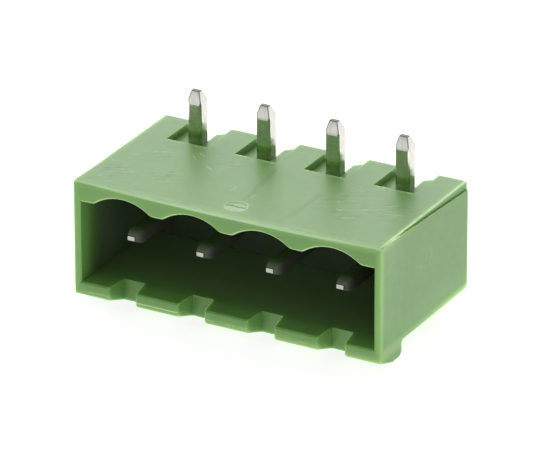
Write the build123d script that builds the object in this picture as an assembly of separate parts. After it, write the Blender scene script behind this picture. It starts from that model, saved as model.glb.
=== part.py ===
"""Right-angle pluggable pin header with closed ends: a moulded housing and its row of contact pins.

Sizes are in millimetres. The part stands as it was photographed, with the board side and the solder tails
up. X runs along the row of contacts, the mouth for the plug faces -Y, and Z = 0 is the crest of the ridge.
"""
import os

from build123d import *

# Row of contacts
POLE_COUNT = 4
PITCH = 5.08
END_MARGIN = 3.56

# Housing outline seen from the side
HOUSING_DEPTH = 12.0
BOARD_FACE_Z = 8.57
UNDERSIDE_Z = 1.0
RAMP_RISE = 0.55
RAMP_LENGTH = 1.7
RIDGE_BACK = 2.95
RIDGE_NOSE_RADIUS = 0.45
RIDGE_ROOT_RADIUS = 0.15
FRONT_LOWER_RADIUS = 0.25
FRONT_UPPER_RADIUS = 0.22
BACK_UPPER_RADIUS = 0.2
BACK_LOWER_RADIUS = 0.3
END_EDGE_RADIUS = 0.12

# Mouth for the plug, measured at the front face
MOUTH_SIDE_WALL = 0.49
MOUTH_FLOOR_Z = 1.45
MOUTH_RIB_Z = 7.16
MOUTH_CROWN_Z = 7.89
SCALLOP_HALF_WIDTH = 2.07
SCALLOP_BLEND_RADIUS = 0.5
MOUTH_DEPTH = 8.4
MOUTH_DRAFT_DEGREES = 2.6
MOUTH_EDGE_BREAK = 0.09

# Coding notches through the ridge, which narrow towards the back
CODING_NOTCH_WIDTH = 1.94
CODING_NOTCH_BACK_WIDTH = 1.5
CODING_NOTCH_DEPTH = 1.6
CODING_NOTCH_CORNER_RADIUS = 0.06

# Notches around the solder tails
TAIL_NOTCH_WIDTH = 3.0
TAIL_NOTCH_FRONT = 8.5
TAIL_NOTCH_DEPTH = 0.5

# Flared way into each rear channel
CHANNEL_FLARE = 0.42

# Relief along the upper edge of each end
END_RELIEF_START = 0.7
END_RELIEF_HEIGHT = 0.62
END_RELIEF_DEPTH = 0.12

# Bevel along the lower edge of each end
END_BEVEL_START = 3.4
END_BEVEL_HEIGHT = 0.36
END_BEVEL_DEPTH = 0.1

# Round mould mark with a bar across it, sunk in the board face near the mouth
MARK_RADIUS = 0.75
MARK_DEPTH = 0.05
MARK_SETBACK = 1.42
MARK_BAR_LENGTH = 1.25
MARK_BAR_WIDTH = 0.26
MARK_BAR_DEPTH = 0.09

# Contact pins
PIN_WIDTH = 1.0
PIN_CORNER_RADIUS = 0.17
PIN_BEND_INNER_RADIUS = 0.5
PIN_FIT_CLEARANCE = 0.0
TAIL_AXIS = 10.03
TAIL_LENGTH = 3.25
MATING_AXIS_Z = 4.62
MATING_TIP_RECESS = 1.2

# Pin tips: their flats lie off the axis, towards the inner side of the bend
TAIL_TIP_LENGTH = 0.95
TAIL_TIP_FLAT_WIDTH = 0.54
TAIL_TIP_FLAT_THICKNESS = 0.28
TAIL_TIP_OFFSET = 0.17
MATING_TIP_LENGTH = 1.0
MATING_TIP_FLAT_WIDTH = 0.5
MATING_TIP_FLAT_THICKNESS = 0.28
MATING_TIP_OFFSET = 0.08
TIP_BOW_SHARE = 0.12

# Sizes that follow from the ones above
HOUSING_WIDTH = (POLE_COUNT - 1) * PITCH + 2 * END_MARGIN
FRONT_Y = -HOUSING_DEPTH / 2
BACK_Y = HOUSING_DEPTH / 2
HALF_WIDTH = HOUSING_WIDTH / 2
POLE_X = [(index - (POLE_COUNT - 1) / 2) * PITCH for index in range(POLE_COUNT)]
TAIL_Y = FRONT_Y + TAIL_AXIS
BEND_RADIUS = PIN_BEND_INNER_RADIUS + PIN_WIDTH / 2
BEND_Y = TAIL_Y - BEND_RADIUS
BEND_Z = MATING_AXIS_Z + BEND_RADIUS
CHANNEL_HALF_WIDTH = PIN_WIDTH / 2 + PIN_FIT_CLEARANCE
TAIL_NOTCH_FLOOR_Z = BOARD_FACE_Z - TAIL_NOTCH_DEPTH
OVERRUN = 1.0


def box_between(low, high):
    """Box with its sides along the axes, from its low corner to its high corner."""
    size = [high[axis] - low[axis] for axis in range(3)]
    return Pos(*low) * Box(*size, align=(Align.MIN, Align.MIN, Align.MIN))


def nearest_vertex(shape, y, z):
    """The corner of a side profile that lies closest to a point."""
    return min(shape.vertices(), key=lambda corner: (corner.Y - y) ** 2 + (corner.Z - z) ** 2)


def side_profile():
    """Outline of the housing in the YZ plane, with its ridge, ramp and rounded corners."""
    ridge_back_y = FRONT_Y + RIDGE_BACK
    crest_start_y = FRONT_Y + RAMP_LENGTH
    with BuildSketch(Plane.YZ) as sketch:
        with BuildLine():
            Polyline(
                (crest_start_y, 0),
                (FRONT_Y, RAMP_RISE),
                (FRONT_Y, BOARD_FACE_Z),
                (BACK_Y, BOARD_FACE_Z),
                (BACK_Y, UNDERSIDE_Z),
                (ridge_back_y, UNDERSIDE_Z),
                (ridge_back_y, 0),
                (crest_start_y, 0),
            )
        make_face()
    corners = [
        (FRONT_Y, RAMP_RISE, FRONT_LOWER_RADIUS),
        (FRONT_Y, BOARD_FACE_Z, FRONT_UPPER_RADIUS),
        (BACK_Y, BOARD_FACE_Z, BACK_UPPER_RADIUS),
        (BACK_Y, UNDERSIDE_Z, BACK_LOWER_RADIUS),
        (ridge_back_y, UNDERSIDE_Z, RIDGE_ROOT_RADIUS),
        (ridge_back_y, 0, RIDGE_NOSE_RADIUS),
    ]
    profile = sketch.sketch
    for y, z, radius in corners:
        profile = fillet(nearest_vertex(profile, y, z), radius)
    return profile


def housing_block():
    """The side profile carried across the row, with the edges of both ends rounded."""
    block = extrude(side_profile(), amount=HALF_WIDTH, both=True)
    end_edges = block.faces().filter_by(Axis.X).edges()
    return fillet(end_edges, END_EDGE_RADIUS)


def mouth_profile():
    """Outline of the mouth at the front face, with its upper wall scalloped over each pole."""
    side_x = HALF_WIDTH - MOUTH_SIDE_WALL
    with BuildSketch(Plane.XZ.offset(-FRONT_Y)) as sketch:
        with BuildLine():
            start_x = -side_x
            for pole_x in POLE_X:
                scallop_start_x = pole_x - SCALLOP_HALF_WIDTH
                scallop_end_x = pole_x + SCALLOP_HALF_WIDTH
                Line((start_x, MOUTH_RIB_Z), (scallop_start_x, MOUTH_RIB_Z))
                ThreePointArc(
                    (scallop_start_x, MOUTH_RIB_Z),
                    (pole_x, MOUTH_CROWN_Z),
                    (scallop_end_x, MOUTH_RIB_Z),
                )
                start_x = scallop_end_x
            Polyline(
                (start_x, MOUTH_RIB_Z),
                (side_x, MOUTH_RIB_Z),
                (side_x, MOUTH_FLOOR_Z),
                (-side_x, MOUTH_FLOOR_Z),
                (-side_x, MOUTH_RIB_Z),
            )
        make_face()
    profile = sketch.sketch
    for pole_x in POLE_X:
        for blend_x in (pole_x - SCALLOP_HALF_WIDTH, pole_x + SCALLOP_HALF_WIDTH):
            corner = min(
                profile.vertices(),
                key=lambda vertex: (vertex.X - blend_x) ** 2 + (vertex.Z - MOUTH_RIB_Z) ** 2,
            )
            profile = fillet(corner, SCALLOP_BLEND_RADIUS)
    return profile


def mouth_space():
    """The space that the plug goes into, drafted so that it narrows towards its end wall."""
    return extrude(mouth_profile(), amount=-MOUTH_DEPTH, taper=MOUTH_DRAFT_DEGREES)


def coding_notch(pole_x):
    """Notch cut through the ridge in front of one contact, narrower and with round corners at the back."""
    half_width = CODING_NOTCH_WIDTH / 2
    half_back = CODING_NOTCH_BACK_WIDTH / 2
    back_y = FRONT_Y + CODING_NOTCH_DEPTH
    outline = Polygon(
        (pole_x - half_width, FRONT_Y - OVERRUN),
        (pole_x + half_width, FRONT_Y - OVERRUN),
        (pole_x + half_width, FRONT_Y),
        (pole_x + half_back, back_y),
        (pole_x - half_back, back_y),
        (pole_x - half_width, FRONT_Y),
        align=None,
    )
    outline = fillet(outline.vertices().group_by(Axis.Y)[-1], CODING_NOTCH_CORNER_RADIUS)
    return extrude(Pos(0, 0, -OVERRUN) * outline, amount=MOUTH_FLOOR_Z + 2 * OVERRUN)


def tail_notch(pole_x):
    """Shallow notch in the board face around one solder tail, open at the back."""
    half_width = TAIL_NOTCH_WIDTH / 2
    low = (pole_x - half_width, FRONT_Y + TAIL_NOTCH_FRONT, TAIL_NOTCH_FLOOR_Z)
    high = (pole_x + half_width, BACK_Y + OVERRUN, BOARD_FACE_Z + OVERRUN)
    return box_between(low, high)


def rear_channel(pole_x):
    """Upright channel, open at the back, that takes one contact, with a flared way in."""
    front_y = TAIL_Y - CHANNEL_HALF_WIDTH
    floor_z = MATING_AXIS_Z - CHANNEL_HALF_WIDTH
    top_z = TAIL_NOTCH_FLOOR_Z + OVERRUN
    flare_y = BACK_Y - CHANNEL_FLARE
    mouth_half_width = CHANNEL_HALF_WIDTH + CHANNEL_FLARE + OVERRUN
    outline = Plane.XY.offset(floor_z) * Polygon(
        (pole_x - CHANNEL_HALF_WIDTH, front_y),
        (pole_x + CHANNEL_HALF_WIDTH, front_y),
        (pole_x + CHANNEL_HALF_WIDTH, flare_y),
        (pole_x + mouth_half_width, BACK_Y + OVERRUN),
        (pole_x - mouth_half_width, BACK_Y + OVERRUN),
        (pole_x - CHANNEL_HALF_WIDTH, flare_y),
        align=None,
    )
    return extrude(outline, amount=top_z - floor_z)


def end_wedge(side, start, edge_z, height, depth):
    """Wedge along an edge of one end that starts at a point and is full size at the back."""
    outer_x = side * (HALF_WIDTH + OVERRUN)
    inner_x = side * (HALF_WIDTH - depth)
    overrun_z = edge_z + (OVERRUN if height < 0 else -OVERRUN)
    slope = height / (HOUSING_DEPTH - start)
    outline = Plane.YZ.offset(min(outer_x, inner_x)) * Polygon(
        (FRONT_Y + start, edge_z),
        (BACK_Y + OVERRUN, edge_z + slope * (HOUSING_DEPTH - start + OVERRUN)),
        (BACK_Y + OVERRUN, overrun_z),
        (FRONT_Y + start, overrun_z),
        align=None,
    )
    return extrude(outline, amount=abs(outer_x - inner_x))


def mould_mark():
    """Shallow round recess in the board face, with a deeper bar across it."""
    middle = (0, FRONT_Y + MARK_SETBACK, BOARD_FACE_Z)
    disc = Pos(*middle) * Cylinder(MARK_RADIUS, 2 * MARK_DEPTH)
    bar = Pos(*middle) * Box(MARK_BAR_LENGTH, MARK_BAR_WIDTH, 2 * MARK_BAR_DEPTH)
    return disc + bar


def mouth_edges(body):
    """Edges of the front face that run around the mouth and down into its coding notches."""
    inner_x = HALF_WIDTH - MOUTH_SIDE_WALL / 2
    above_mouth_z = (MOUTH_CROWN_Z + BOARD_FACE_Z) / 2
    below_mouth_z = (RAMP_RISE + MOUTH_FLOOR_Z) / 2
    edges = body.faces().group_by(Axis.Y)[0].edges()
    edges = [edge for edge in edges if abs(edge.center().X) < inner_x]
    edges = [edge for edge in edges if edge.center().Z < above_mouth_z]
    return [edge for edge in edges if edge.center().Z > below_mouth_z]


def tip_outline(length, tip_length, tip_flat, offset):
    """Lengthwise outline of a pin leg on z = 0, whose sides bow in to a flat tip off its axis."""
    half_width = PIN_WIDTH / 2
    shoulder = length - tip_length
    with BuildSketch(Plane.XZ) as sketch:
        with BuildLine():
            for side in (-1, 1):
                start_x = side * half_width
                end_x = offset + side * tip_flat / 2
                middle_x = (start_x + end_x) / 2 + TIP_BOW_SHARE * (start_x - end_x)
                ThreePointArc(
                    (start_x, shoulder),
                    (middle_x, shoulder + tip_length / 2),
                    (end_x, length),
                )
            Line((offset - tip_flat / 2, length), (offset + tip_flat / 2, length))
            Polyline(
                (-half_width, shoulder),
                (-half_width, 0),
                (half_width, 0),
                (half_width, shoulder),
            )
        make_face()
    return sketch.sketch


def pin_leg(length, tip_length, flat_width, flat_thickness, offset):
    """Straight leg of square wire along +Z, tapered at its tip, with the tip's flat offset along +Y."""
    wire = extrude(RectangleRounded(PIN_WIDTH, PIN_WIDTH, PIN_CORNER_RADIUS), amount=length)
    across = extrude(tip_outline(length, tip_length, flat_width, 0), amount=PIN_WIDTH, both=True)
    along = extrude(tip_outline(length, tip_length, flat_thickness, offset), amount=PIN_WIDTH, both=True)
    return wire & across & (Rot(0, 0, 90) * along)


def wire_bend(pole_x, section):
    """Quarter turn that carries a section from one mating leg up into its solder tail."""
    turn = revolve(Pos(BEND_RADIUS, 0, 0) * section, axis=Axis.Y, revolution_arc=90)
    return Pos(pole_x, BEND_Y, BEND_Z) * Rot(0, 0, 90) * turn


def contact_pin(pole_x):
    """One contact: mating leg, right-angle bend and solder tail."""
    mating = pin_leg(
        BEND_Y - (FRONT_Y + MATING_TIP_RECESS),
        MATING_TIP_LENGTH,
        MATING_TIP_FLAT_WIDTH,
        MATING_TIP_FLAT_THICKNESS,
        MATING_TIP_OFFSET,
    )
    tail = pin_leg(
        BOARD_FACE_Z + TAIL_LENGTH - BEND_Z,
        TAIL_TIP_LENGTH,
        TAIL_TIP_FLAT_WIDTH,
        TAIL_TIP_FLAT_THICKNESS,
        -TAIL_TIP_OFFSET,
    )
    bend = wire_bend(pole_x, RectangleRounded(PIN_WIDTH, PIN_WIDTH, PIN_CORNER_RADIUS))
    mating_placed = Pos(pole_x, BEND_Y, MATING_AXIS_Z) * Rot(90, 0, 0) * mating
    tail_placed = Pos(pole_x, TAIL_Y, BEND_Z) * tail
    return mating_placed + bend + tail_placed


def pin_socket(pole_x):
    """Square bore that one contact is pressed into, from the mouth back and round its bend."""
    low = (pole_x - CHANNEL_HALF_WIDTH, FRONT_Y + MATING_TIP_RECESS, MATING_AXIS_Z - CHANNEL_HALF_WIDTH)
    high = (pole_x + CHANNEL_HALF_WIDTH, BEND_Y, MATING_AXIS_Z + CHANNEL_HALF_WIDTH)
    turn = wire_bend(pole_x, Rectangle(2 * CHANNEL_HALF_WIDTH, 2 * CHANNEL_HALF_WIDTH))
    return box_between(low, high) + turn


def housing():
    """The moulded housing, with a socket and a rear channel for each contact."""
    body = housing_block()
    body -= mouth_space()
    for pole_x in POLE_X:
        body -= coding_notch(pole_x)
    body = chamfer(mouth_edges(body), MOUTH_EDGE_BREAK)
    for pole_x in POLE_X:
        body -= tail_notch(pole_x)
        body -= rear_channel(pole_x)
        body -= pin_socket(pole_x)
    for side in (-1, 1):
        body -= end_wedge(side, END_RELIEF_START, BOARD_FACE_Z, -END_RELIEF_HEIGHT, END_RELIEF_DEPTH)
        body -= end_wedge(side, END_BEVEL_START, UNDERSIDE_Z, END_BEVEL_HEIGHT, END_BEVEL_DEPTH)
    body -= mould_mark()
    return body


def main():
    """Builds every piece and writes one STEP file for each."""
    os.makedirs("parts", exist_ok=True)
    export_step(housing(), "parts/housing.step")
    for number, pole_x in enumerate(POLE_X, start=1):
        export_step(contact_pin(pole_x), f"parts/contact_pin_{number}.step")


main()
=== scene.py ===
"""Looks of the pin header: moulded green plastic and tinned pins, seen as in the photograph."""
import math
from collections import namedtuple

import bpy
from mathutils import Matrix, Vector

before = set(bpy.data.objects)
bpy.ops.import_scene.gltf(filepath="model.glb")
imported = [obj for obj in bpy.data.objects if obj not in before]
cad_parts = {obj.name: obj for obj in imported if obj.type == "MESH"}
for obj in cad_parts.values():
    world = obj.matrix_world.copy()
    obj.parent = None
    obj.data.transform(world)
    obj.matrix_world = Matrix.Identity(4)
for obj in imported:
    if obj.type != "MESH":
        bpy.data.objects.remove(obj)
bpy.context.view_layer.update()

MM = 0.001

# Camera, from the fit to the edges in the photograph
CAMERA_AZIMUTH = 28.87
CAMERA_ELEVATION = 24.74
CAMERA_ROLL = -0.14
CAMERA_DISTANCE = 0.4191
CAMERA_TARGET = Vector((0.0, 0.0, 5.08 * MM))
FOCAL_PIXELS = 6516.2
PRINCIPAL_X = 270.9
PRINCIPAL_Y = 229.6
IMAGE_WIDTH = 540
IMAGE_HEIGHT = 450
SENSOR_WIDTH = 36.0


def box_of(node_name):
    """Two opposite corners of a node's box, in millimetres."""
    corners = [Vector(corner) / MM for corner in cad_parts[node_name].bound_box]
    low = Vector([min(corner[axis] for corner in corners) for axis in range(3)])
    high = Vector([max(corner[axis] for corner in corners) for axis in range(3)])
    return low, high


# Faces of the housing, in millimetres
housing_low, housing_high = box_of("housing")
HALF_WIDTH = housing_high.x
FRONT_Y = housing_low.y
BACK_Y = housing_high.y
BOARD_FACE_Z = housing_high.z
UNDERSIDE_Z = 1.0
LIP_Z = 0.6
PARTING_Z = 0.85
PARTING_CLEAR_X = -5.1
MOUTH_FLOOR_Z = 1.45
SCALLOP_LOW_Z = 6.9
MOUTH_TOP_Z = 7.95
MOUTH_DEPTH = 8.4
MARK_CENTRE = (0.0, -4.58, BOARD_FACE_Z)
MARK_RADIUS = 0.75
RIM_SAG = 0.17
RIM_SAG_HALF_LENGTH = 10.5
EDGE_GLOW_REACH = (0.10, 0.62)
FRONT_SLOPE_X = (-8.0, 8.0)

# Contact pins, in millimetres
PIN_WIDTH = 1.0
TIP_LENGTH = 0.95
TIP_TAPER_ACROSS = 0.23
TIP_TAPER_DEPTH = 0.19
TIP_BOW = 0.11
BEND_Z = (5.0, 5.8)
pin_low, pin_high = box_of("contact_pin_1")
PITCH = box_of("contact_pin_2")[0].x - pin_low.x
TAIL_Y = pin_high.y - PIN_WIDTH / 2
TAIL_TOP_Z = pin_high.z
TIP_START_Z = TAIL_TOP_Z - TIP_LENGTH

# Single scuffs on the board face, from X and Y to X and Y, and scuffed patches at X, Y and radius
LIGHT_SCUFFS = (
    (6.82, -2.92, 7.38, -2.61),
    (5.37, 1.0, 5.99, 1.34),
    (5.82, 0.02, 6.38, 0.32),
    (6.5, -0.84, 6.89, -0.62),
    (8.47, 0.06, 8.97, 0.33),
    (-10.53, -2.13, -10.02, -1.85),
    (-9.92, -0.72, -9.52, -0.5),
    (-4.68, -0.02, -4.14, -0.45),
    (-6.08, 1.55, -5.62, 1.26),
    (-1.51, -2.6, -1.43, -2.0),
    (0.27, -2.85, 0.23, -2.5),
    (-6.24, 0.92, -5.76, 0.46),
)
DARK_SCUFFS = (
    (0.02, -3.31, -0.45, 1.38),
    (3.78, -4.22, 3.81, -0.55),
    (-6.14, -3.31, -6.19, -1.92),
)
SCUFFED_PATCHES = (
    (-9.6, -3.6, 2.2),
    (6.4, -1.0, 2.8),
    (9.2, -0.6, 1.8),
    (-6.2, -2.6, 1.6),
    (-8.3, 0.2, 1.4),
    (-3.6, 0.9, 1.3),
)
PATCH_Z = 8.5
LIGHT_SCUFF_WIDTH = 0.1
DARK_SCUFF_WIDTH = 0.34
SCUFF_WAVER = 0.4
DASH_TURN = math.radians(-29)
END_SCUFF = (11.2, 0.0, 5.2)
END_SCUFF_RADIUS = 1.7

# Colours of the plastic
GREEN = (0.115, 0.280, 0.050)
LIGHT_GREEN = (0.135, 0.305, 0.062)
# painted light: a paler green on the board face and on the front, most on the front's left half
PALE_PAINTED_LIGHT_GREEN = (0.160, 0.355, 0.075)
# painted shade: a slightly deeper green on the ends
END_PAINTED_SHADE_GREEN = (0.088, 0.228, 0.036)
# painted glow: paler, yellower green along the outer edges, standing in for light coming through the
# plastic
PAINTED_EDGE_GLOW_GREEN = (0.30, 0.49, 0.16)
# painted light: a paler green around the front of the mouth
LIP_PAINTED_LIGHT_GREEN = (0.240, 0.440, 0.130)
# painted shade inside the mouth: darker inwards, greyer deep inside, darkest on its end wall and on its
# side walls
MOUTH_PAINTED_SHADE_GREEN = (0.080, 0.122, 0.046)
DEEP_MOUTH_PAINTED_SHADE_GREEN = (0.160, 0.225, 0.100)
MOUTH_END_PAINTED_SHADE_GREEN = (0.020, 0.046, 0.009)
MOUTH_SIDE_PAINTED_SHADE_GREEN = (0.030, 0.052, 0.020)
DARK_SCUFF_GREEN = (0.045, 0.13, 0.02)
LIGHT_SCUFF_GREEN = (0.36, 0.51, 0.30)
# painted highlight around the mould mark, and painted light on its walls and floor
MARK_PAINTED_HIGHLIGHT_GREEN = (0.60, 0.78, 0.52)
# painted highlight along the rounded upper edge of the front
FRONT_RIM_PAINTED_HIGHLIGHT_GREEN = (0.52, 0.68, 0.47)
# painted highlight along the edge between the board face and the right end
END_RIM_PAINTED_HIGHLIGHT_GREEN = (0.58, 0.80, 0.46)
# painted highlight on the bevel along the scallops of the mouth
MOUTH_RIM_PAINTED_HIGHLIGHT_GREEN = (0.52, 0.74, 0.38)
# painted highlight along the parting line low on the front lip
PARTING_PAINTED_HIGHLIGHT_GREEN = (0.62, 0.85, 0.45)

# Colours of the pins, the last two for the legs in the green shade of the mouth
DARK_TIN = (0.59, 0.58, 0.535)
LIGHT_TIN = (0.70, 0.69, 0.645)
# painted shade on the sides of the pins, and a duller tin on their tips
DULL_TIN_AND_PAINTED_SIDE_SHADE = (0.22, 0.22, 0.20)
# darker tin along the tips' corners and the rims of their sheared ends
DARK_CORNER_TIN = (0.05, 0.05, 0.045)
SHADED_SIDE = (0.004, 0.020, 0.002)
SHADED_TOP = (0.085, 0.145, 0.052)

# Plastic and relief
PLASTIC_IOR = 1.6
SCATTER_RADIUS = (0.7, 1.0, 0.35)
SCATTER_SCALE = 0.9 * MM
PLASTIC_RELIEF = 0.02 * MM
PIN_RELIEF = 0.012 * MM

# Surroundings: a lit table, and white walls that are brightest behind the part on the left
FLOOR_SIZE = 1.6
FLOOR_GAP = 0.02 * MM
FLOOR_GREY = (0.5, 0.5, 0.5, 1.0)
WHITE = (1.0, 1.0, 1.0, 1.0)
FLOOR_BACKWARDS = (0.5, 0.85, 0.0)
FLOOR_GLOW_FRONT = 0.8
FLOOR_GLOW_BACK = 1.25
FLOOR_GLOW_SEEN = 0.8
STUDIO_BRIGHT = 2.0
STUDIO_BASE = 0.28
STUDIO_FRONT_GLOW = 0.66
BRIGHT_SIDE = (-0.497, 0.795, 0.348)

# What a material's nodes know of a spot: its place in millimetres, and the way that the surface faces
Spot = namedtuple("Spot", "place x y z facing_x facing_y facing_z")


def add_node(tree, kind, inputs=None, **settings):
    """Adds a node, sets it up, and links or fills its inputs."""
    made = tree.nodes.new(kind)
    for name, value in settings.items():
        setattr(made, name, value)
    for name, value in (inputs or {}).items():
        if isinstance(value, bpy.types.NodeSocket):
            tree.links.new(value, made.inputs[name])
        else:
            made.inputs[name].default_value = value
    return made


def maths(tree, operation, first, second=0.5, clamp=False):
    """Output of a Math node."""
    return add_node(
        tree, "ShaderNodeMath", {0: first, 1: second}, operation=operation, use_clamp=clamp
    ).outputs[0]


def product(tree, first, *others):
    """All the values multiplied."""
    for other in others:
        first = maths(tree, "MULTIPLY", first, other)
    return first


def greatest(tree, first, *others):
    """The greatest of the values."""
    for other in others:
        first = maths(tree, "MAXIMUM", first, other)
    return first


def unsigned(tree, value):
    """Value without its sign."""
    return maths(tree, "ABSOLUTE", value)


def off(tree, value, target):
    """How far a value is from a target."""
    return unsigned(tree, maths(tree, "SUBTRACT", value, target))


def over(tree, value, limit):
    """1 above a limit and 0 elsewhere."""
    return maths(tree, "GREATER_THAN", value, limit)


def under(tree, value, limit):
    """1 below a limit and 0 elsewhere."""
    return maths(tree, "LESS_THAN", value, limit)


def spread(tree, value, low, high, to_low=0.0, to_high=1.0):
    """Value carried smoothly from one range to another."""
    return add_node(
        tree,
        "ShaderNodeMapRange",
        {"Value": value, "From Min": low, "From Max": high, "To Min": to_low, "To Max": to_high},
        interpolation_type="SMOOTHSTEP",
    ).outputs[0]


def vector_maths(tree, operation, first, second, output="Vector"):
    """Output of a Vector Math node."""
    return add_node(
        tree, "ShaderNodeVectorMath", {0: first, 1: second}, operation=operation
    ).outputs[output]


def scaled(tree, vector, share):
    """Vector times a value."""
    return add_node(
        tree, "ShaderNodeVectorMath", {0: vector, "Scale": share}, operation="SCALE"
    ).outputs[0]


def coordinates(tree, vector):
    """The X, Y and Z of a vector."""
    return add_node(tree, "ShaderNodeSeparateXYZ", {0: vector}).outputs[:3]


def mix_colour(tree, factor, first, second):
    """Output of a colour Mix node."""
    made = add_node(tree, "ShaderNodeMix", {0: factor}, data_type="RGBA")
    for socket_name, value in (("A", first), ("B", second)):
        target = next(s for s in made.inputs if s.name == socket_name and s.type == "RGBA")
        if isinstance(value, bpy.types.NodeSocket):
            tree.links.new(value, target)
        else:
            target.default_value = (*value, 1.0)
    return next(s for s in made.outputs if s.type == "RGBA")


def layered(tree, base, layers):
    """Base colour with layers over it, each with its share and its colour."""
    for share, colour in layers:
        base = mix_colour(tree, share, base, colour)
    return base


def millimetres(tree, scale=(1.0, 1.0, 1.0), turn=0.0):
    """Place on the part in millimetres, turned about Z and then stretched."""
    place = add_node(tree, "ShaderNodeTexCoord").outputs["Object"]
    turned = add_node(
        tree, "ShaderNodeMapping", {"Vector": place, "Rotation": (0, 0, turn), "Scale": (1 / MM,) * 3}
    ).outputs[0]
    return add_node(tree, "ShaderNodeMapping", {"Vector": turned, "Scale": scale}).outputs[0]


def noise(tree, vector, scale, detail=2.0, roughness=0.5):
    """Grey noise value."""
    return add_node(
        tree,
        "ShaderNodeTexNoise",
        {"Vector": vector, "Scale": scale, "Detail": detail, "Roughness": roughness},
    ).outputs[0]


def patch(tree, place, centre, radius):
    """1 at a point on the part, falling to 0 at a radius, both in millimetres."""
    away = vector_maths(tree, "DISTANCE", place, centre, "Value")
    return spread(tree, away, 0.25 * radius, radius, 1.0, 0.0)


def new_material(name):
    """A new material with its node tree and its shader."""
    made = bpy.data.materials.new(name)
    made.use_nodes = True
    return made, made.node_tree, made.node_tree.nodes["Principled BSDF"]


def read_spot(tree):
    """The spot that is shaded."""
    place = millimetres(tree)
    normal = add_node(tree, "ShaderNodeNewGeometry").outputs["Normal"]
    return Spot(place, *coordinates(tree, place), *coordinates(tree, normal))


def add_relief(tree, shader, height, strength, depth):
    """Fine relief from a height."""
    bump = add_node(tree, "ShaderNodeBump", {"Height": height, "Strength": strength, "Distance": depth})
    tree.links.new(bump.outputs[0], shader.inputs["Normal"])


def painted_edge_glow(tree, spot):
    """1 along the housing's outer edges, for a painted glow of the light that comes through the plastic,
    falling to 0 inwards.
    """
    end = off(tree, unsigned(tree, spot.x), HALF_WIDTH)
    front = off(tree, spot.y, FRONT_Y)
    back = off(tree, spot.y, BACK_Y)
    top = off(tree, spot.z, BOARD_FACE_Z)
    bottom = off(tree, spot.z, UNDERSIDE_Z)
    lip = off(tree, spot.z, LIP_Z)
    glow = 0.0
    for first, second, strength in (
        (end, front, 1.0),
        (end, top, 1.0),
        (front, top, 1.0),
        (end, bottom, 1.0),
        (front, lip, 1.5),
        (end, back, 0.5),
        (back, top, 0.5),
    ):
        away = maths(tree, "ADD", first, second)
        glow = greatest(tree, glow, spread(tree, away, *EDGE_GLOW_REACH, strength, 0.0))
    return glow


def inside_mouth(tree, spot, start, end):
    """0 up to one distance behind the front face, rising to 1 at another, inside the mouth alone."""
    across = under(tree, unsigned(tree, spot.x), HALF_WIDTH - 0.3)
    above = over(tree, spot.z, MOUTH_FLOOR_Z - 0.04)
    below = under(tree, spot.z, MOUTH_TOP_Z)
    before_end = under(tree, spot.y, FRONT_Y + MOUTH_DEPTH + 0.2)
    depth = spread(tree, spot.y, FRONT_Y + start, FRONT_Y + end)
    return product(tree, across, above, below, before_end, depth)


def painted_lip_light(tree, spot):
    """1 for painted light around the front of the mouth, falling to 0 inwards and weaker on the right of
    the front face.
    """
    on_front = under(tree, spot.y, FRONT_Y + 0.06)
    above_mouth = product(tree, on_front, over(tree, spot.z, MOUTH_TOP_Z - 0.08))
    around = greatest(tree, inside_mouth(tree, spot, -0.2, -0.1), above_mouth)
    near = maths(tree, "SUBTRACT", around, inside_mouth(tree, spot, 0.6, 2.0), True)
    weaker = product(tree, on_front, spread(tree, spot.x, *FRONT_SLOPE_X, 0.0, 0.8))
    return product(tree, near, maths(tree, "SUBTRACT", 1.0, weaker))


def painted_end_shade(tree, spot):
    """Share of a slightly deeper green painted as shade on the ends, most in their middle and towards the
    back.
    """
    on_end = spread(tree, unsigned(tree, spot.facing_x), 0.9, 0.98)
    outside = over(tree, unsigned(tree, spot.x), HALF_WIDTH - 0.2)
    backwards = spread(tree, spot.y, FRONT_Y, -1.5, 0.0, 0.72)
    upwards = spread(tree, spot.z, 1.5, 3.8, 0.2, 1.0)
    return product(tree, on_end, outside, backwards, upwards)


def painted_front_light(tree, spot):
    """Share of a slightly paler green painted as light on the front, most on its left half."""
    ahead = under(tree, spot.y, FRONT_Y + 0.04)
    facing_ahead = spread(tree, spot.facing_y, -0.98, -0.9, 1.0, 0.0)
    return product(tree, ahead, facing_ahead, spread(tree, spot.x, *FRONT_SLOPE_X, 1.6, 0.4))


def on_board_face(tree, spot):
    """1 on the board face alone."""
    high = over(tree, spot.z, BOARD_FACE_Z - 0.05)
    return product(tree, spread(tree, spot.facing_z, 0.9, 0.99), high)


def painted_front_rim_highlight(tree, spot):
    """1 for the painted highlight on the rounded upper edge of the front, which reads as sagging a little
    in the middle.
    """
    along = maths(tree, "DIVIDE", spot.x, RIM_SAG_HALF_LENGTH)
    sag = maths(tree, "SUBTRACT", 1.0, product(tree, along, along), True)
    limit = maths(tree, "SUBTRACT", BOARD_FACE_Z - 0.10, product(tree, sag, RIM_SAG))
    above = spread(tree, maths(tree, "SUBTRACT", spot.z, limit), -0.07, 0.07)
    return product(tree, above, spread(tree, spot.y, FRONT_Y + 0.07, FRONT_Y + 0.20, 1.0, 0.0))


def painted_end_rim_highlight(tree, spot):
    """1 along the painted highlight on the edge between the board face and the right end, strongest near
    the front.
    """
    line = spread(tree, off(tree, spot.x, HALF_WIDTH - 0.12), 0.05, 0.17, 1.0, 0.0)
    high = over(tree, spot.z, BOARD_FACE_Z - 0.11)
    ahead = spread(tree, spot.y, -3.6, 0.0, 1.0, 0.5)
    start = spread(tree, spot.y, -5.9, -4.7, 0.1, 1.0)
    blotch = noise(tree, millimetres(tree, (2.0, 1.3, 1.0)), 1.0)
    return product(tree, line, high, ahead, start, spread(tree, blotch, 0.35, 0.6, 0.65, 1.0))


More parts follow.
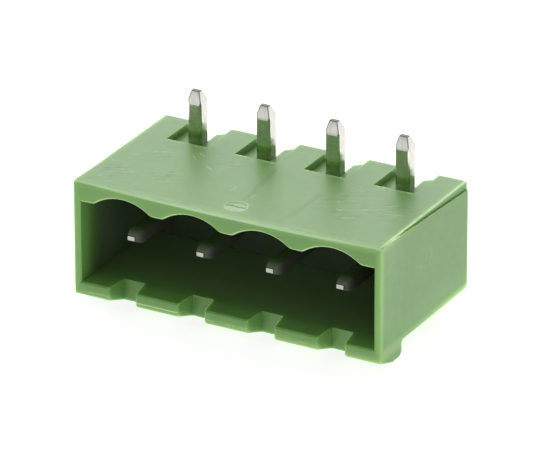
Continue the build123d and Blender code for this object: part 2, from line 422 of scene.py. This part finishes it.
def painted_mouth_rim_highlight(tree, spot):
    """1 on the narrow bevel along the scallops of the mouth, which catches the light, for a painted
    highlight.
    """
    ahead = under(tree, spot.y, FRONT_Y + 0.10)
    above = over(tree, spot.z, SCALLOP_LOW_Z)
    below = under(tree, spot.z, BOARD_FACE_Z - 0.3)
    within = under(tree, unsigned(tree, spot.x), HALF_WIDTH - 0.57)
    return product(tree, ahead, above, below, within, spread(tree, spot.facing_y, -0.93, -0.85))


def painted_parting_highlight(tree, spot):
    """Painted highlight along the parting line: a thin pale line low on the front lip, clear between two
    notches and faint elsewhere.
    """
    line = spread(tree, off(tree, spot.z, PARTING_Z), 0.015, 0.055, 1.0, 0.0)
    ahead = under(tree, spot.y, FRONT_Y + 0.04)
    clear = spread(tree, off(tree, spot.x, PARTING_CLEAR_X), 1.3, 1.9, 1.0, 0.0)
    blotch = noise(tree, millimetres(tree, (0.9, 1.0, 1.0)), 1.0, 1.0)
    return product(tree, line, ahead, greatest(tree, clear, spread(tree, blotch, 0.48, 0.6, 0.0, 0.45)))


def mark_painted_highlight(tree, spot):
    """Painted highlight on the rim around the mould mark, painted light on its inner walls and a slightly
    paler painted light on its floor.
    """
    away = vector_maths(tree, "DISTANCE", spot.place, MARK_CENTRE, "Value")
    rim = spread(tree, off(tree, away, MARK_RADIUS - 0.02), 0.02, 0.18, 0.42, 0.0)
    broken = spread(tree, noise(tree, spot.place, 2.1), 0.44, 0.6)
    near = spread(tree, away, MARK_RADIUS - 0.2, MARK_RADIUS - 0.05, 0.7, 1.0)
    upright = spread(tree, spot.facing_z, 0.5, 0.95, 1.0, 0.0)
    wall = product(tree, near, under(tree, away, MARK_RADIUS + 0.1), upright)
    fill = product(tree, under(tree, away, MARK_RADIUS), 0.3)
    return greatest(tree, product(tree, rim, broken), wall, fill)


def stroke(tree, place, ends, width):
    """1 on a straight scuff on the board face, given by its two ends, falling to 0 at its edges."""
    x_start, y_start, x_end, y_end = ends
    along = Vector((x_end - x_start, y_end - y_start, 0.0))
    flat = vector_maths(tree, "MULTIPLY", place, (1.0, 1.0, 0.0))
    reach = vector_maths(tree, "SUBTRACT", flat, (x_start, y_start, 0.0))
    share = maths(
        tree, "DIVIDE", vector_maths(tree, "DOT_PRODUCT", reach, along, "Value"), along.length_squared, True
    )
    away = vector_maths(tree, "DISTANCE", reach, scaled(tree, along, share), "Value")
    return spread(tree, away, 0.2 * width, width, 1.0, 0.0)


def strokes(tree, place, rows, width):
    """The strongest of several scuffs at each place, wavered a little by noise."""
    waver = add_node(
        tree, "ShaderNodeTexNoise", {"Vector": place, "Scale": 1.8, "Detail": 2.0}
    ).outputs["Color"]
    shift = scaled(tree, vector_maths(tree, "SUBTRACT", waver, (0.5, 0.5, 0.5)), SCUFF_WAVER)
    moved = vector_maths(tree, "ADD", place, shift)
    return greatest(tree, 0.0, *(stroke(tree, moved, ends, width) for ends in rows))


def board_scuffs(tree, spot):
    """Shares of the light scuffs and of the dark ones on the board face."""
    place = spot.place
    dashes = noise(tree, millimetres(tree, (1.2, 5.5, 0.4), DASH_TURN), 1.0, 2.0, 0.6)
    scuffed = greatest(tree, *(patch(tree, place, (x, y, PATCH_Z), r) for x, y, r in SCUFFED_PATCHES))
    light_dashes = product(tree, spread(tree, dashes, 0.59, 0.66), scuffed, 0.8)
    broken = spread(tree, dashes, 0.3, 0.6, 0.4, 1.0)
    light_strokes = product(tree, strokes(tree, place, LIGHT_SCUFFS, LIGHT_SCUFF_WIDTH), broken)
    dark_dashes = product(tree, spread(tree, dashes, 0.34, 0.41, 1.0, 0.0), scuffed, 0.55)
    dark_strokes = product(tree, strokes(tree, place, DARK_SCUFFS, DARK_SCUFF_WIDTH), 0.22)
    on_face = on_board_face(tree, spot)
    light = product(tree, greatest(tree, light_dashes, light_strokes), on_face)
    dark = product(tree, greatest(tree, dark_dashes, dark_strokes), on_face)
    return light, dark


def outer_green(tree, spot):
    """Mottled green of the outside, with a painted glow that makes it paler along the edges."""
    mottle = noise(tree, spot.place, 0.28, 3.0)
    base = mix_colour(tree, spread(tree, mottle, 0.3, 0.7), GREEN, LIGHT_GREEN)
    return mix_colour(tree, product(tree, painted_edge_glow(tree, spot), 0.55), base, PAINTED_EDGE_GLOW_GREEN)


def mouth_painted_light_and_shade(tree, spot):
    """The greens of the mouth: pale painted light around its front, painted shade darker inwards, darkest
    on its end and sides.
    """
    facing_ahead = spread(tree, spot.facing_y, -0.9, -0.6, 1.0, 0.0)
    at_end = inside_mouth(tree, spot, MOUTH_DEPTH - 0.3, MOUTH_DEPTH - 0.2)
    sideways = spread(tree, unsigned(tree, spot.facing_x), 0.7, 0.9, 0.0, 0.75)
    return (
        (product(tree, painted_lip_light(tree, spot), 0.5), LIP_PAINTED_LIGHT_GREEN),
        (product(tree, inside_mouth(tree, spot, 0.7, 3.3), 0.7), MOUTH_PAINTED_SHADE_GREEN),
        (product(tree, inside_mouth(tree, spot, 4.5, MOUTH_DEPTH), 0.6), DEEP_MOUTH_PAINTED_SHADE_GREEN),
        (product(tree, at_end, facing_ahead), MOUTH_END_PAINTED_SHADE_GREEN),
        (product(tree, inside_mouth(tree, spot, 0.0, 2.6), sideways), MOUTH_SIDE_PAINTED_SHADE_GREEN),
    )


def face_painted_light_and_shade(tree, spot):
    """Painted shade, a deeper green on the ends, and painted light, a paler green on the board face and the
    front.
    """
    paler = maths(tree, "ADD", on_board_face(tree, spot), painted_front_light(tree, spot))
    return (painted_end_shade(tree, spot), END_PAINTED_SHADE_GREEN), (product(tree, paler, 0.35), PALE_PAINTED_LIGHT_GREEN)


def painted_highlight_layers(tree, spot):
    """The painted highlights on the edges, around the mould mark and along the parting line, with painted
    light on the mark's walls and floor.
    """
    return (
        (mark_painted_highlight(tree, spot), MARK_PAINTED_HIGHLIGHT_GREEN),
        (product(tree, painted_front_rim_highlight(tree, spot), 0.9), FRONT_RIM_PAINTED_HIGHLIGHT_GREEN),
        (product(tree, painted_end_rim_highlight(tree, spot), 0.9), END_RIM_PAINTED_HIGHLIGHT_GREEN),
        (product(tree, painted_mouth_rim_highlight(tree, spot), 0.8), MOUTH_RIM_PAINTED_HIGHLIGHT_GREEN),
        (product(tree, painted_parting_highlight(tree, spot), 0.75), PARTING_PAINTED_HIGHLIGHT_GREEN),
    )


def housing_plastic():
    """Semi-gloss green moulded plastic with flow marks, fine grain and the photograph's scuffs."""
    material, tree, shader = new_material("housing_plastic")
    spot = read_spot(tree)
    light_scuffs, dark_scuffs = board_scuffs(tree, spot)
    smudge = noise(tree, spot.place, 1.6, 4.0, 0.65)
    end_scuff = patch(tree, spot.place, END_SCUFF, END_SCUFF_RADIUS)
    end_scuff = product(tree, end_scuff, spread(tree, smudge, 0.5, 0.66), 0.3)
    wear = maths(tree, "ADD", product(tree, light_scuffs, 0.7), end_scuff, True)

    base = layered(tree, outer_green(tree, spot), mouth_painted_light_and_shade(tree, spot))
    base = layered(tree, base, face_painted_light_and_shade(tree, spot))
    base = layered(tree, base, ((dark_scuffs, DARK_SCUFF_GREEN), (wear, LIGHT_SCUFF_GREEN)))
    base = layered(tree, base, painted_highlight_layers(tree, spot))
    tree.links.new(base, shader.inputs["Base Color"])

    rough = spread(tree, smudge, 0.25, 0.75, 0.36, 0.46)
    rough = maths(tree, "ADD", rough, product(tree, wear, 0.3))
    rough = maths(tree, "ADD", rough, product(tree, inside_mouth(tree, spot, 0.7, 3.3), 0.42))
    tree.links.new(rough, shader.inputs["Roughness"])
    shader.inputs["IOR"].default_value = PLASTIC_IOR
    shader.inputs["Subsurface Weight"].default_value = 1.0
    shader.inputs["Subsurface Radius"].default_value = SCATTER_RADIUS
    shader.inputs["Subsurface Scale"].default_value = SCATTER_SCALE

    grain = product(tree, noise(tree, spot.place, 7.0, 3.0, 0.6), 0.5)
    height = maths(tree, "ADD", grain, product(tree, light_scuffs, 0.8))
    height = maths(tree, "ADD", height, product(tree, noise(tree, spot.place, 0.5, 1.0), 1.5))
    add_relief(tree, shader, height, 0.25, PLASTIC_RELIEF)
    return material


def tip_corners(tree, spot):
    """1 along the corners where the faces of a tail's tip meet, and along the rim of its sheared end."""
    from_pole = maths(tree, "MODULO", maths(tree, "ADD", spot.x, 2 * PITCH), PITCH)
    across = off(tree, from_pole, PITCH / 2)
    up = maths(tree, "DIVIDE", maths(tree, "SUBTRACT", spot.z, TIP_START_Z), TIP_LENGTH, True)
    bow = product(tree, up, maths(tree, "SUBTRACT", 1.0, up), TIP_BOW)
    taper_x = product(tree, up, TIP_TAPER_ACROSS)
    taper_y = product(tree, up, TIP_TAPER_DEPTH)
    half_x = maths(tree, "ADD", maths(tree, "SUBTRACT", PIN_WIDTH / 2, taper_x), bow)
    front_y = maths(tree, "SUBTRACT", maths(tree, "ADD", TAIL_Y - PIN_WIDTH / 2, taper_y), bow)
    away = maths(tree, "ADD", off(tree, across, half_x), off(tree, spot.y, front_y))
    corner = product(tree, spread(tree, away, 0.01, 0.10, 0.9, 0.0), over(tree, up, 0.02))
    return greatest(tree, corner, spread(tree, spot.z, TAIL_TOP_Z - 0.09, TAIL_TOP_Z - 0.02))


def drawing_lines(tree, spot):
    """Fine lines along both legs of a pin, upright above the bend and level below it."""
    upright = noise(tree, millimetres(tree, (9.0, 9.0, 0.5)), 1.0, 3.0, 0.6)
    level = noise(tree, millimetres(tree, (9.0, 0.5, 9.0)), 1.0, 3.0, 0.6)
    on_tail = spread(tree, spot.z, *BEND_Z)
    return add_node(tree, "ShaderNodeMix", {0: on_tail, 2: level, 3: upright}, data_type="FLOAT").outputs[0]


def pin_metal():
    """Tin over brass wire, with faint drawing lines along each leg and a dark sheared end."""
    material, tree, shader = new_material("pin_metal")
    spot = read_spot(tree)
    lines = drawing_lines(tree, spot)
    blotch = noise(tree, spot.place, 2.6, 4.0, 0.65)
    shaded = inside_mouth(tree, spot, 0.6, 2.2)
    shade = mix_colour(tree, spread(tree, spot.facing_z, 0.3, 0.8), SHADED_SIDE, SHADED_TOP)
    # painted shade: darker, duller tin on the sides of the pins, and a duller tin on the tips
    sideways = spread(tree, unsigned(tree, spot.facing_x), 0.75, 0.95)
    on_tip = spread(tree, spot.z, TIP_START_Z - 0.05, TIP_START_Z + 0.05)
    painted_side_shade_and_dull_tip = greatest(tree, product(tree, sideways, 0.36), product(tree, on_tip, 0.27))
    dark_corners = product(tree, tip_corners(tree, spot), 0.85)
    base = mix_colour(tree, spread(tree, blotch, 0.3, 0.7), DARK_TIN, LIGHT_TIN)
    base = layered(tree, base, ((shaded, shade), (painted_side_shade_and_dull_tip, DULL_TIN_AND_PAINTED_SIDE_SHADE), (dark_corners, DARK_CORNER_TIN)))
    tree.links.new(base, shader.inputs["Base Color"])

    behind_tip = inside_mouth(tree, spot, 1.24, 1.36)
    tree.links.new(spread(tree, behind_tip, 0.0, 1.0, 1.0, 0.5), shader.inputs["Metallic"])
    rough = spread(tree, maths(tree, "ADD", lines, blotch), 0.6, 1.4, 0.13, 0.26)
    rough = maths(tree, "ADD", rough, product(tree, dark_corners, 0.3))
    rough = maths(tree, "ADD", rough, product(tree, shaded, 0.3))
    tree.links.new(rough, shader.inputs["Roughness"])
    height = maths(tree, "ADD", product(tree, lines, 0.6), product(tree, blotch, 0.6))
    add_relief(tree, shader, height, 0.2, PIN_RELIEF)
    return material


def dress(object_, material):
    """Gives an object one material in all its slots."""
    object_.data.materials.clear()
    object_.data.materials.append(material)
    for polygon in object_.data.polygons:
        polygon.material_index = 0


def make_floor():
    """Pale lit table that reads as white and keeps a soft shadow; its front half is dimmer."""
    bpy.ops.mesh.primitive_plane_add(size=FLOOR_SIZE, location=(0, 0, -FLOOR_GAP))
    floor = bpy.context.object
    floor.name = "floor"
    material, tree, shader = new_material("floor")
    tree.nodes.remove(shader)
    backwards = vector_maths(tree, "DOT_PRODUCT", millimetres(tree), FLOOR_BACKWARDS, "Value")
    glow = spread(tree, backwards, -14.0, 10.0, FLOOR_GLOW_FRONT, FLOOR_GLOW_BACK)
    seen = add_node(tree, "ShaderNodeLightPath").outputs["Is Camera Ray"]
    strength = add_node(tree, "ShaderNodeMix", {0: seen, 2: glow, 3: FLOOR_GLOW_SEEN}, data_type="FLOAT")
    lit = add_node(tree, "ShaderNodeEmission", {"Color": WHITE, "Strength": strength.outputs[0]})
    diffuse = add_node(tree, "ShaderNodeBsdfDiffuse", {"Color": FLOOR_GREY})
    both = add_node(tree, "ShaderNodeAddShader", {0: diffuse.outputs[0], 1: lit.outputs[0]})
    tree.links.new(both.outputs[0], tree.nodes["Material Output"].inputs["Surface"])
    floor.data.materials.append(material)


def make_lights():
    """White surroundings: brightest behind on the left, with a low glow in front."""
    world = bpy.data.worlds.new("studio")
    bpy.context.scene.world = world
    world.use_nodes = True
    tree = world.node_tree
    direction = add_node(tree, "ShaderNodeTexCoord").outputs["Generated"]
    toward = vector_maths(tree, "DOT_PRODUCT", direction, BRIGHT_SIDE, "Value")
    lobe = spread(tree, toward, 0.2, 0.95, 0.0, STUDIO_BRIGHT)
    backwards, upwards = coordinates(tree, direction)[1:]
    low = spread(tree, upwards, 0.0, 0.7, STUDIO_FRONT_GLOW, 0.0)
    ahead = spread(tree, backwards, -0.5, 0.2, 1.0, 0.0)
    strength = maths(tree, "ADD", lobe, product(tree, low, ahead))
    strength = maths(tree, "ADD", strength, STUDIO_BASE)
    background = tree.nodes["Background"]
    tree.links.new(strength, background.inputs["Strength"])
    background.inputs["Color"].default_value = WHITE


def make_camera():
    """Camera that repeats the fitted view."""
    azimuth, elevation, roll = (math.radians(x) for x in (CAMERA_AZIMUTH, CAMERA_ELEVATION, CAMERA_ROLL))
    back = Vector((
        math.sin(azimuth) * math.cos(elevation),
        -math.cos(azimuth) * math.cos(elevation),
        math.sin(elevation),
    ))
    forward = -back
    right = forward.cross(Vector((0, 0, 1))).normalized()
    up = right.cross(forward)
    rolled_right = right * math.cos(roll) + up * math.sin(roll)
    rolled_up = up * math.cos(roll) - right * math.sin(roll)
    aim = forward + rolled_right * ((IMAGE_WIDTH / 2 - PRINCIPAL_X) / FOCAL_PIXELS)
    aim = (aim - rolled_up * ((IMAGE_HEIGHT / 2 - PRINCIPAL_Y) / FOCAL_PIXELS)).normalized()
    side = aim.cross(rolled_up).normalized()
    top = side.cross(aim)
    data = bpy.data.cameras.new("camera")
    data.sensor_width = SENSOR_WIDTH
    data.lens = FOCAL_PIXELS * SENSOR_WIDTH / IMAGE_WIDTH
    data.clip_start, data.clip_end = 0.01, 10.0
    camera = bpy.data.objects.new("camera", data)
    bpy.context.scene.collection.objects.link(camera)
    turn = Matrix((side, top, -aim)).transposed().to_4x4()
    camera.matrix_world = Matrix.Translation(CAMERA_TARGET + back * CAMERA_DISTANCE) @ turn
    bpy.context.scene.camera = camera


plastic = housing_plastic()
metal = pin_metal()
for node_name, node_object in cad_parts.items():
    if node_name == "housing":
        dress(node_object, plastic)
    else:
        dress(node_object, metal)
make_floor()
make_lights()
make_camera()
bpy.context.scene.view_settings.view_transform = "Standard"
